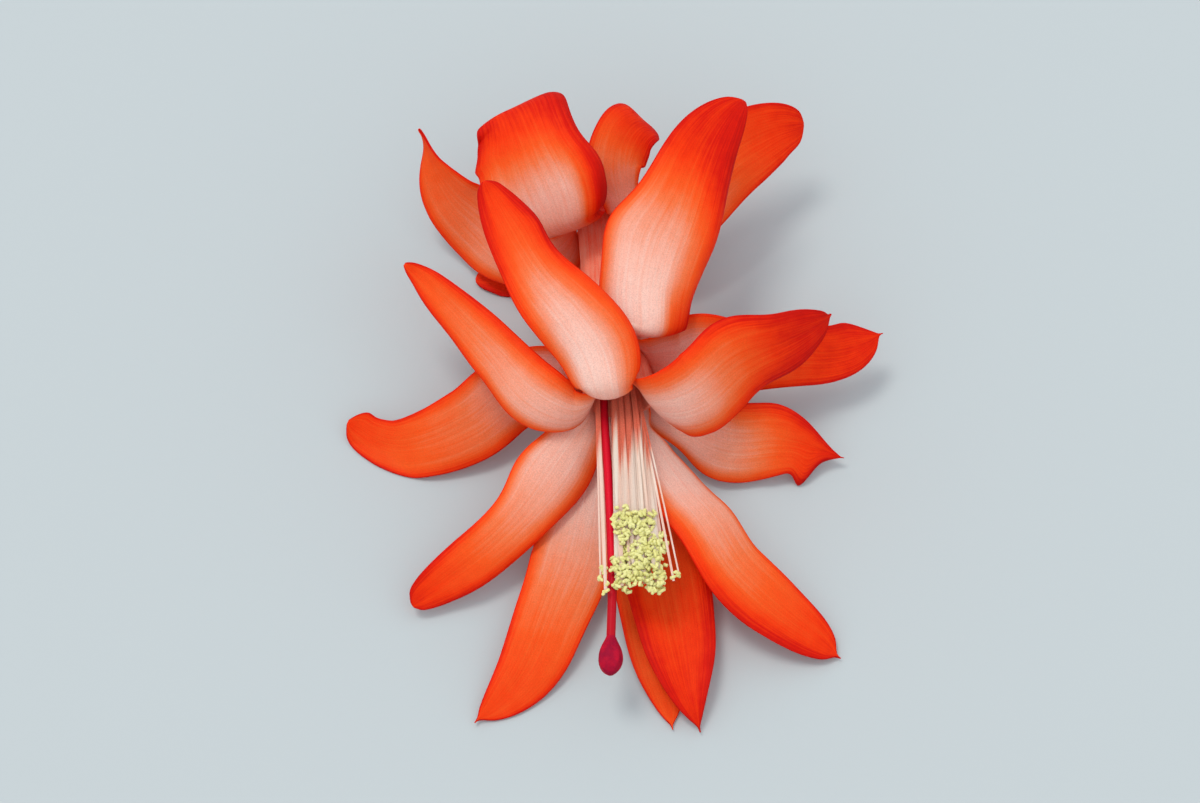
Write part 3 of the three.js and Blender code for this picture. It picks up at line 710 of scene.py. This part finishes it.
def tube_profile():
    """From the throat's floor, round the rim and back along the outside."""
    inside = MOUTH_RADIUS - TUBE_WALL
    neck_inside = lerp(inside, NECK_RADIUS - TUBE_WALL, THROAT_DEPTH / TUBE_LENGTH)
    floor = THROAT_DEPTH - FLOOR_ROUND
    profile = [(THROAT_DEPTH, 0.0), (THROAT_DEPTH, neck_inside * FLOOR_FLAT), (floor, neck_inside)]
    for k in range(1, INSIDE_RINGS):
        share = k / INSIDE_RINGS
        profile.append((THROAT_DEPTH * (1 - share), lerp(neck_inside, inside, share)))
    profile += [(RIM_ROUND, inside), (0.0, inside + RIM_ROUND)]
    profile += [(0.0, MOUTH_RADIUS - RIM_ROUND), (RIM_ROUND, MOUTH_RADIUS)]
    back = TUBE_LENGTH - BACK_BEVEL[0]
    for k in range(1, OUTSIDE_RINGS):
        behind = lerp(RIM_ROUND, back, k / OUTSIDE_RINGS)
        if behind < NARROWING[0]:
            radius = lerp(MOUTH_RADIUS, THROAT_RADIUS, behind / NARROWING[0])
        else:
            radius = lerp(THROAT_RADIUS, NECK_RADIUS, ease(behind, *NARROWING))
        profile.append((behind, radius))
    profile += [(back, NECK_RADIUS), (TUBE_LENGTH, NECK_RADIUS - BACK_BEVEL[1]), (TUBE_LENGTH, 0.0)]
    return profile


# ---- Threads ----


def thread_mesh(name, routes, radius, steps, sides, flat=0.0, widths=None):
    """Threads along routes of points, as one mesh; flat widens them to ribbons."""
    curve = bpy.data.curves.new(name, "CURVE")
    curve.dimensions = "3D"
    curve.twist_mode = "Z_UP"
    curve.extrude = flat
    curve.bevel_depth = radius
    curve.bevel_resolution = sides
    curve.use_fill_caps = True
    for number, route in enumerate(routes):
        spline = curve.splines.new("POLY")
        points = [p for p, _ in even_points([Vector(p) for p in route], steps, samples=120)]
        spline.points.add(len(points) - 1)
        for slot, point in zip(spline.points, points):
            slot.co = (*placed(point), 1)
            slot.tilt = math.pi / 2
            slot.radius = widths[number] if widths else 1
    carrier = bpy.data.objects.new(name, curve)
    mesh = bpy.data.meshes.new_from_object(carrier)
    bpy.data.objects.remove(carrier)
    bpy.data.curves.remove(curve)
    return mesh


def filament_routes():
    """The sheaf and the route of each filament."""
    rng = random.Random(FILAMENT_SEED)
    routes = []
    for sheaf in SHEAVES:
        for k in range(sheaf["count"]):
            share = k / (sheaf["count"] - 1)
            root = on_tube(RING_DEPTH, RING_RADIUS, lerp(*sheaf["roots"], share))
            height = sheaf["height"] + rng.uniform(-HEIGHT_SPREAD, HEIGHT_SPREAD)
            bunch = share
            if sheaf["count"] > BUNCHES:
                bunch = (min(int(share * BUNCHES), BUNCHES - 1) + 0.5) / BUNCHES
            passing = Vector((lerp(*sheaf["mouth"], lerp(share, bunch, BUNCHED)), 0, height))
            reach = rng.uniform(*sheaf["reach"])
            aside = lerp(*sheaf["ends"], share) + rng.uniform(-END_SPREAD, END_SPREAD)
            end = Vector((aside, -reach, height - rng.uniform(*DROOP)))
            arch = passing.lerp(end, ARCH_PLACE) + Vector((0, 0, ARCH_HEIGHT))
            routes.append((sheaf, (root, passing, arch, end)))
    return routes


def anther(bm, place, heading, length, width, rng):
    """One anther: a lumpy, bent bean with pollen on it."""
    made = bmesh.ops.create_uvsphere(bm, u_segments=8, v_segments=6, radius=1)["verts"]
    turn = Vector((0, 0, 1)).rotation_difference(heading)
    bow = rng.uniform(-ANTHER_BOW, ANTHER_BOW)
    seed = Vector((rng.random(), rng.random(), rng.random())) * NOISE_SPAN
    waist_depth, waist_length = ANTHER_WAIST
    for vert in made:
        x, y, z = vert.co
        lump = 1 + ANTHER_LUMP * noise.noise(vert.co * ANTHER_LUMPS + seed)
        waist = 1 - waist_depth * math.exp(-((z / waist_length) ** 2))
        local = Vector((x * width / 2 * waist, y * width / 2 * waist, z * length / 2)) * lump
        local.x += bow * width * z ** 2
        vert.co = placed(place) + (turn @ local)


# ---- Materials ----


def new_group(name, inputs, outputs):
    """A shader node group with its sockets: (name, type, default) in, (name, type) out."""
    group = bpy.data.node_groups.new(name, "ShaderNodeTree")
    for label, kind, default in inputs:
        socket = group.interface.new_socket(label, in_out="INPUT", socket_type=kind)
        socket.default_value = default
    for label, kind in outputs:
        group.interface.new_socket(label, in_out="OUTPUT", socket_type=kind)
    return group, group.nodes.new("NodeGroupInput"), group.nodes.new("NodeGroupOutput")


def feed(tree, socket, value):
    """Links a socket to another, or sets its value."""
    if isinstance(value, bpy.types.NodeSocket):
        tree.links.new(value, socket)
    else:
        socket.default_value = value


def add_node(tree, kind, inputs=None, **settings):
    """A shader node with its settings, and with its inputs linked or set."""
    node = tree.nodes.new("ShaderNode" + kind)
    for label, value in settings.items():
        setattr(node, label, value)
    for label, value in (inputs or {}).items():
        feed(tree, node.inputs[label], value)
    return node


def math_node(tree, operation, a, b, clamp=False):
    return add_node(tree, "Math", {0: a, 1: b}, operation=operation, use_clamp=clamp).outputs[0]


def plus(tree, a, b, clamp=False):
    return math_node(tree, "ADD", a, b, clamp)


def minus(tree, a, b):
    return math_node(tree, "SUBTRACT", a, b)


def times(tree, a, b, clamp=False):
    return math_node(tree, "MULTIPLY", a, b, clamp)


def veins_group():
    """Fine streaks that run along a tepal or the tube, from its own UV map."""
    tree, given, result = new_group(
        "Lengthwise veins",
        [("Count", "NodeSocketFloat", 30.0), ("Length", "NodeSocketFloat", 2.5)],
        [("Streak", "NodeSocketFloat")],
    )
    uv = add_node(tree, "UVMap", uv_map="petal")
    split = add_node(tree, "SeparateXYZ", {0: uv.outputs["UV"]})
    across = times(tree, split.outputs["X"], given.outputs["Count"])
    along = times(tree, split.outputs["Y"], given.outputs["Length"])
    place = add_node(tree, "CombineXYZ", {"X": across, "Y": along}).outputs[0]
    streak = add_node(
        tree, "TexNoise", {"Vector": place, "Scale": 1.0, "Detail": 4.0, "Roughness": 0.65}
    )
    feed(tree, result.inputs["Streak"], streak.outputs["Fac"])
    return tree


def cells_group():
    """The fine grain of a plant's skin, with a painted sparkle where its cells catch the light."""
    tree, given, result = new_group(
        "Skin cells",
        [("Cell size", "NodeSocketFloat", CELL_SIZE)],
        [("Height", "NodeSocketFloat"), ("Mottle", "NodeSocketFloat"), ("Sparkle", "NodeSocketFloat")],
    )
    place = add_node(tree, "TexCoord").outputs["Object"]
    size = math_node(tree, "DIVIDE", 1 / MM, given.outputs["Cell size"])
    cells = add_node(tree, "TexVoronoi", {"Vector": place, "Scale": size})
    coarse = times(tree, size, MOTTLE_SCALE)
    mottle = add_node(tree, "TexNoise", {"Vector": place, "Scale": coarse, "Detail": 3.0})
    fine = times(tree, size, SPARKLE_SCALE)
    sparkle = add_node(
        tree, "TexNoise", {"Vector": place, "Scale": fine, "Detail": 1.0, "Roughness": 0.7}
    )
    feed(tree, result.inputs["Height"], cells.outputs["Distance"])
    feed(tree, result.inputs["Mottle"], mottle.outputs["Fac"])
    feed(tree, result.inputs["Sparkle"], minus(tree, sparkle.outputs["Fac"], SPARKLE_MIDDLE))
    return tree


def group_node(tree, name, make, inputs):
    return add_node(tree, "Group", inputs, node_tree=bpy.data.node_groups.get(name) or make()).outputs


def new_material(name):
    material = bpy.data.materials.new(name)
    material.use_nodes = True
    tree = material.node_tree
    return material, tree, tree.nodes["Principled BSDF"], tree.nodes["Material Output"]


def ramp_node(tree, fac, stops):
    ramp = add_node(tree, "ValToRGB", {"Fac": fac})
    elements = ramp.color_ramp.elements
    while len(elements) < len(stops):
        elements.new(0.5)
    for element, (position, colour) in zip(elements, stops):
        element.position = position
        element.color = (*colour, 1)
    return ramp.outputs["Color"]


def skin_material(name, fac, stops, streaks, relief, roughness, glow, cell=CELL_SIZE):
    """A plant skin. fac gives the place on its colour ramp; glow is the share of light let through."""
    material, tree, shader, output = new_material(name)
    veins = group_node(tree, "Lengthwise veins", veins_group, {"Count": streaks})
    cells = group_node(tree, "Skin cells", cells_group, {"Cell size": cell})
    place = fac(tree, veins["Streak"], cells["Mottle"])
    # painted sparkle: specks in the colour, lighter and darker, strongest where the skin is pale
    depth = minus(tree, SPARKLE_DEPTH[0], times(tree, place, SPARKLE_DEPTH[1]))
    value = plus(tree, times(tree, cells["Sparkle"], depth), 1.0)
    skin = ramp_node(tree, place, stops)
    colour = add_node(tree, "HueSaturation", {"Color": skin, "Value": value}).outputs["Color"]
    height = plus(tree, veins["Streak"], times(tree, cells["Height"], CELL_RELIEF))
    bump = add_node(tree, "Bump", {"Strength": relief, "Distance": RELIEF_DEPTH, "Height": height})
    normal = bump.outputs["Normal"]
    rough = plus(tree, times(tree, cells["Mottle"], ROUGHNESS_SPREAD), roughness - ROUGHNESS_SPREAD / 2)
    feed(tree, shader.inputs["Base Color"], colour)
    feed(tree, shader.inputs["Normal"], normal)
    feed(tree, shader.inputs["Roughness"], rough)
    feed(tree, shader.inputs["Specular IOR Level"], SKIN_SHINE)
    if glow:
        back = add_node(tree, "BsdfTranslucent", {"Color": colour, "Normal": normal})
        blend = add_node(tree, "MixShader", {"Fac": glow, 1: shader.outputs[0], 2: back.outputs[0]})
        feed(tree, output.inputs["Surface"], blend.outputs[0])
    return material


def tepal_materials(colours):
    """The inner face and the outer face of a tepal."""

    def blush(tree, streak, mottle):
        red = add_node(tree, "Attribute", attribute_name="blush").outputs["Fac"]
        feather = times(tree, minus(tree, streak, 0.5), FEATHER)
        cloud = times(tree, minus(tree, mottle, 0.5), CLOUD)
        return plus(tree, red, plus(tree, feather, cloud), clamp=True)

    inner = skin_material(
        "tepal_inner_face", blush,
        [
            (0.0, colours.heart), (0.25, colours.flush), (0.45, colours.peach), (0.62, colours.orange),
            # crimson, the top of the ramp, is painted shade on the folds; the reddest rims and tips reach
            # it too
            (0.8, colours.red), (0.91, colours.deep_red), (1.0, colours.crimson),
        ],
        streaks=34, relief=0.35, roughness=0.5, glow=0.4,
    )
    outer = skin_material(
        "tepal_outer_face", blush,
        [(0.0, colours.back_pale), (0.35, colours.back_red), (1.0, colours.deep_red)],
        streaks=30, relief=0.35, roughness=0.5, glow=0.4,
    )
    return inner, outer


def by_streak(tree, streak, mottle):
    return plus(tree, times(tree, streak, STREAK_SHARE), times(tree, mottle, 1 - STREAK_SHARE))


def by_mottle(tree, streak, mottle):
    return mottle


def along_flower(tree):
    """The place on the piece across the flower, and how far ahead of the mouth."""
    place = add_node(tree, "TexCoord").outputs["Object"]
    split = add_node(tree, "SeparateXYZ", {0: place}).outputs
    return split["X"], minus(tree, MOUTH.y * MM, split["Y"])


def along_style(tree, streak, mottle):
    """Rises from the mouth to the stigma."""
    _, ahead = along_flower(tree)
    return math_node(tree, "DIVIDE", ahead, -STYLE_ROUTE[-1][1] * MM, clamp=True)


def along_filament(tree, streak, mottle):
    """Rises from the throat to the open part of the filaments."""
    across, ahead = along_flower(tree)
    patch = add_node(
        tree, "TexNoise", {"W": across, "Scale": PATCHES, "Detail": 2}, noise_dimensions="1D"
    ).outputs["Fac"]
    contrast = times(tree, minus(tree, patch, PATCH_START), PATCH_CONTRAST, clamp=True)
    start = plus(tree, times(tree, contrast, RED_SPREAD), RED_END)
    rise = math_node(tree, "DIVIDE", minus(tree, ahead, start), RED_FADE, clamp=True)
    return math_node(tree, "MINIMUM", rise, minus(tree, 1.0, times(tree, contrast, PATCH_LEFT)))


# ---- Settings ----


def length_setting(label, description, millimetres):
    return FloatProperty(
        name=label, description=description, default=millimetres * MM, unit="LENGTH", precision=5
    )


def colour_setting(label, description, *screen):
    return FloatVectorProperty(
        name=label, description=description, default=srgb(*screen),
        size=3, min=0, max=1, subtype="COLOR",
    )


class FlowerSizes(bpy.types.PropertyGroup):
    petal_thickness: length_setting("Petal thickness", "Thickness of a tepal at its midrib", 0.42)
    margin_thickness: length_setting("Margin thickness", "Thickness of a tepal at its edge", 0.26)
    filament_width: length_setting("Filament width", "Width of a ribbon of filaments", 0.42)
    filament_thickness: length_setting("Filament thickness", "Thickness of a ribbon of filaments", 0.12)
    anther_length: length_setting("Anther length", "Length of an anther", 0.74)
    anther_width: length_setting("Anther width", "Width of an anther", 0.46)
    floor_width: length_setting("Floor width", "Width of the floor the flower lies on", 3000)


class FlowerColours(bpy.types.PropertyGroup):
    heart: colour_setting("Heart", "The pale middle of a tepal", 248, 218, 202)
    flush: colour_setting("Flush", "Next to the pale middle", 244, 170, 138)
    peach: colour_setting("Peach", "Between the flush and the orange", 246, 130, 76)
    orange: colour_setting("Orange", "Half way to the margins and the tip", 250, 98, 34)
    red: colour_setting("Red", "Near the margins and the tip", 248, 62, 10)
    deep_red: colour_setting("Deep red", "The rims and the reddest tips", 224, 28, 8)
    # crimson: painted shade on the folded margins, and also the darkest red of the rims and tips
    crimson: colour_setting("Crimson", "The folded margins", 198, 18, 10)
    back_pale: colour_setting("Pale back", "The outer face near the root", 232, 130, 104)
    back_red: colour_setting("Red back", "The outer face", 228, 62, 34)
    tube: colour_setting("Tube", "The floral tube", 246, 100, 66)
    tube_rib: colour_setting("Tube ribs", "The pale ribs of the tube", 240, 164, 138)
    ovary: colour_setting("Ovary", "The ovary", 138, 148, 70)
    ovary_flush: colour_setting("Ovary flush", "The reddish flush on the ovary", 170, 108, 70)
    style: colour_setting("Style", "The style", 206, 14, 40)
    # the style's ends: painted shade on it in the throat, and darker by the stigma
    style_shade_and_end: colour_setting("Style's ends", "The style in the throat and by the stigma", 168, 12, 28)
    stigma: colour_setting("Stigma", "The stigma", 140, 4, 40)
    filament: colour_setting("Filament", "The open part of the filaments", 244, 234, 222)
    filament_fade: colour_setting("Filament fade", "Where the filaments turn pale", 240, 206, 186)
    # the filaments' base: their own pink with painted shade and orange light from the top tepal on it
    filament_base_and_shade: colour_setting("Filament base", "The filaments inside the throat", 230, 126, 98)
    anther: colour_setting("Anther", "The anthers", 228, 222, 140)
    pollen: colour_setting("Pollen", "The pollen on the anthers", 242, 238, 172)
    floor: colour_setting("Floor", "The floor the flower lies on", 172, 178, 179)


# ---- Operators ----


class FlowerStep:
    """What the operators share: each builds from the scene's settings."""

    def execute(self, context):
        self.build(context.scene.flower_sizes, context.scene.flower_colours)
        return {"FINISHED"}


class FLOWER_OT_stage(FlowerStep, bpy.types.Operator):
    """Makes the floor, the light and the camera"""

    bl_idname = "flower.stage"
    bl_label = "Stage"

    def build(self, sizes, colours):
        self.floor(sizes.floor_width, colours.floor)
        self.light()
        self.camera(bpy.context.scene)

    def floor(self, width, colour):
        bm = bmesh.new()
        bmesh.ops.create_grid(bm, x_segments=1, y_segments=1, size=width / 2)
        mesh = mesh_of(bm, "floor")
        floor = add_object("floor", mesh)
        material, tree, shader, _ = new_material("floor")
        feed(tree, shader.inputs["Base Color"], (*colour, 1))
        feed(tree, shader.inputs["Roughness"], 0.9)
        feed(tree, shader.inputs["Specular IOR Level"], 0.1)
        mesh.materials.append(material)

    def light(self):
        sun = bpy.data.lights.new("sun", "SUN")
        sun.energy = SUN_ENERGY
        sun.angle = math.radians(SUN_ANGLE)
        sun.color = SUN_COLOUR
        aim(add_object("sun", sun), SUN_TRAVEL)
        world = bpy.data.worlds.new("studio")
        world.use_nodes = True
        background = world.node_tree.nodes["Background"]
        background.inputs["Color"].default_value = SKY_COLOUR
        background.inputs["Strength"].default_value = SKY_STRENGTH
        bpy.context.scene.world = world

    def camera(self, scene):
        elevation = math.radians(CAMERA_ELEVATION)
        back = Vector((0, -math.cos(elevation), math.sin(elevation)))
        camera = bpy.data.cameras.new("camera")
        camera.lens = CAMERA_LENS
        camera.sensor_width = SENSOR_WIDTH
        camera.clip_start, camera.clip_end = CAMERA_CLIP
        viewer = add_object("camera", camera)
        viewer.location = placed(CAMERA_TARGET + back * CAMERA_DISTANCE)
        aim(viewer, -back)
        scene.camera = viewer
        scene.view_settings.view_transform = "Standard"
        scene.view_settings.look = "None"


class FLOWER_OT_tepals(FlowerStep, bpy.types.Operator):
    """Makes the three rows of tepals"""

    bl_idname = "flower.tepals"
    bl_label = "Tepals"

    def build(self, sizes, colours):
        materials = tepal_materials(colours)
        rng = random.Random(TEPAL_SEED)
        for tepal in map(complete, TEPALS):
            build_tepal(tepal, sizes, materials, rng)


class FLOWER_OT_tube(FlowerStep, bpy.types.Operator):
    """Makes the floral tube and the ovary behind it"""

    bl_idname = "flower.tube"
    bl_label = "Tube and ovary"

    def build(self, sizes, colours):
        tube = settle(turned(tube_profile(), segments=64, flutes=10, depth=0.02), TUBE_TURN, (0, 0, 0))
        skin = skin_material(
            "tube_skin", by_streak, [(0.3, colours.tube), (0.7, colours.tube_rib)],
            streaks=60, relief=0.5, roughness=0.45, glow=0.2,
        )
        subdivide(new_piece("tube", mesh_of(tube, "tube"), skin, "floral_tube"))
        front = TUBE_LENGTH - OVARY_SUNK
        profile = [(front, 0.0), *((front + OVARY_SUNK + at, radius) for at, radius in OVARY_PROFILE)]
        profile.append((front + OVARY_SUNK + OVARY_LENGTH - OVARY_SCAR, 0.0))
        ovary = settle(turned(profile, segments=48, flutes=5, depth=0.025), TUBE_TURN, (0, 0, 0))
        green = skin_material(
            "ovary_skin", by_mottle, [(0.35, colours.ovary), (0.7, colours.ovary_flush)],
            streaks=40, relief=0.4, roughness=0.45, glow=0,
        )
        subdivide(new_piece("ovary_body", mesh_of(ovary, "ovary_body"), green, "ovary"))


class FLOWER_OT_pistil(FlowerStep, bpy.types.Operator):
    """Makes the style and its stigma"""

    bl_idname = "flower.pistil"
    bl_label = "Style and stigma"

    def build(self, sizes, colours):
        root = on_tube(THROAT_DEPTH - STYLE_SUNK, 0, 0)
        mesh = thread_mesh("style_rod", [(root, *STYLE_ROUTE)], STYLE_RADIUS * MM, steps=60, sides=6)
        # darker at the mouth end, as painted shade in the throat, and darker again by the stigma
        crimson = skin_material(
            "style_skin", along_style,
            [
                (0.0, colours.style_shade_and_end), (0.3, colours.style), (0.66, colours.style),
                (0.8, colours.style_shade_and_end),
            ],
            streaks=12, relief=0.15, roughness=0.3, glow=0,
        )
        new_piece("style_rod", mesh, crimson, "style")
        end, before = Vector(STYLE_ROUTE[-1]), Vector(STYLE_ROUTE[-2])
        profile = [(0.0, 0.0), *((share * STIGMA_LENGTH, radius) for share, radius in STIGMA_PROFILE)]
        profile.append((STIGMA_LENGTH, 0.0))
        body = turned(profile, segments=56, flutes=STIGMA_LOBES, depth=0.045)
        heading = (end - before).normalized()
        turn = Vector((0, 1, 0)).rotation_difference(heading)
        start = end - heading * STIGMA_SUNK
        magenta = skin_material(
            "stigma_skin", by_mottle, [(0.4, colours.stigma), (0.9, colours.style)],
            streaks=30, relief=0.6, roughness=0.5, glow=0, cell=0.09,
        )
        lobes = mesh_of(settle(body, turn, start), "stigma_lobes")
        subdivide(new_piece("stigma_lobes", lobes, magenta, "stigma"))


class FLOWER_OT_stamens(FlowerStep, bpy.types.Operator):
    """Makes the filaments and their anthers"""

    bl_idname = "flower.stamens"
    bl_label = "Stamens"

    def build(self, sizes, colours):
        filaments = filament_routes()
        rng = random.Random(ANTHER_SEED)
        widths = [rng.uniform(*RIBBON_SPREAD) * sheaf["broad"] for sheaf, _ in filaments]
        mesh = thread_mesh(
            "filaments", [route for _, route in filaments], sizes.filament_thickness / 2,
            steps=28, sides=2, widths=widths,
            flat=(sizes.filament_width - sizes.filament_thickness) / 2,
        )
        # salmon at the base is partly painted shade and orange light let through the top tepal
        thread = skin_material(
            "filament_skin", along_filament,
            [(0.0, colours.filament_base_and_shade), (0.6, colours.filament_fade), (1.0, colours.filament)],
            streaks=6, relief=0.1, roughness=0.35, glow=0.5,
        )
        new_piece("filaments", mesh, thread, "stamens")
        bm = bmesh.new()
        for sheaf, route in filaments:
            bunch = bmesh.new()
            bunch.loops.layers.uv.new("petal")
            for _ in range(sheaf["anthers"]):
                tilts = (1, 1, ANTHER_TILT)
                heading = Vector([rng.uniform(-tilt, tilt) for tilt in tilts]).normalized()
                scatter = Vector([rng.uniform(*span) for span in ANTHER_SCATTER])
                place = route[-1] + scatter * sheaf["broad"]
                anther(bunch, place, heading, sizes.anther_length, sizes.anther_width, rng)
            carrier = mesh_of(bunch, "bunch")
            bm.from_mesh(carrier)
            bpy.data.meshes.remove(carrier)
        yellow = skin_material(
            "anther_skin", by_mottle, [(0.3, colours.anther), (0.65, colours.pollen)],
            streaks=6, relief=0.4, roughness=0.75, glow=0.3, cell=0.1,
        )
        new_piece("anthers", mesh_of(bm, "anthers"), yellow, "stamens")


class FLOWER_PT_panel(bpy.types.Panel):
    bl_label = "Christmas cactus flower"
    bl_idname = "FLOWER_PT_panel"
    bl_space_type = "VIEW_3D"
    bl_region_type = "UI"
    bl_category = "Flower"

    def draw(self, context):
        for settings in (context.scene.flower_sizes, context.scene.flower_colours):
            column = self.layout.column(align=True)
            for setting in settings.bl_rna.properties.keys():
                if setting not in ("rna_type", "name"):
                    column.prop(settings, setting)
        for operator in OPERATORS:
            self.layout.operator(operator.bl_idname)


OPERATORS = (FLOWER_OT_stage, FLOWER_OT_tepals, FLOWER_OT_tube, FLOWER_OT_pistil, FLOWER_OT_stamens)
CLASSES = (FlowerSizes, FlowerColours, *OPERATORS, FLOWER_PT_panel)


def register():
    for cls in CLASSES:
        bpy.utils.register_class(cls)
    bpy.types.Scene.flower_sizes = PointerProperty(type=FlowerSizes)
    bpy.types.Scene.flower_colours = PointerProperty(type=FlowerColours)


def unregister():
    del bpy.types.Scene.flower_colours
    del bpy.types.Scene.flower_sizes
    for cls in reversed(CLASSES):
        bpy.utils.unregister_class(cls)


def main():
    register()
    bpy.ops.flower.stage()
    bpy.ops.flower.tepals()
    bpy.ops.flower.tube()
    bpy.ops.flower.pistil()
    bpy.ops.flower.stamens()


if __name__ == "__main__":
    main()
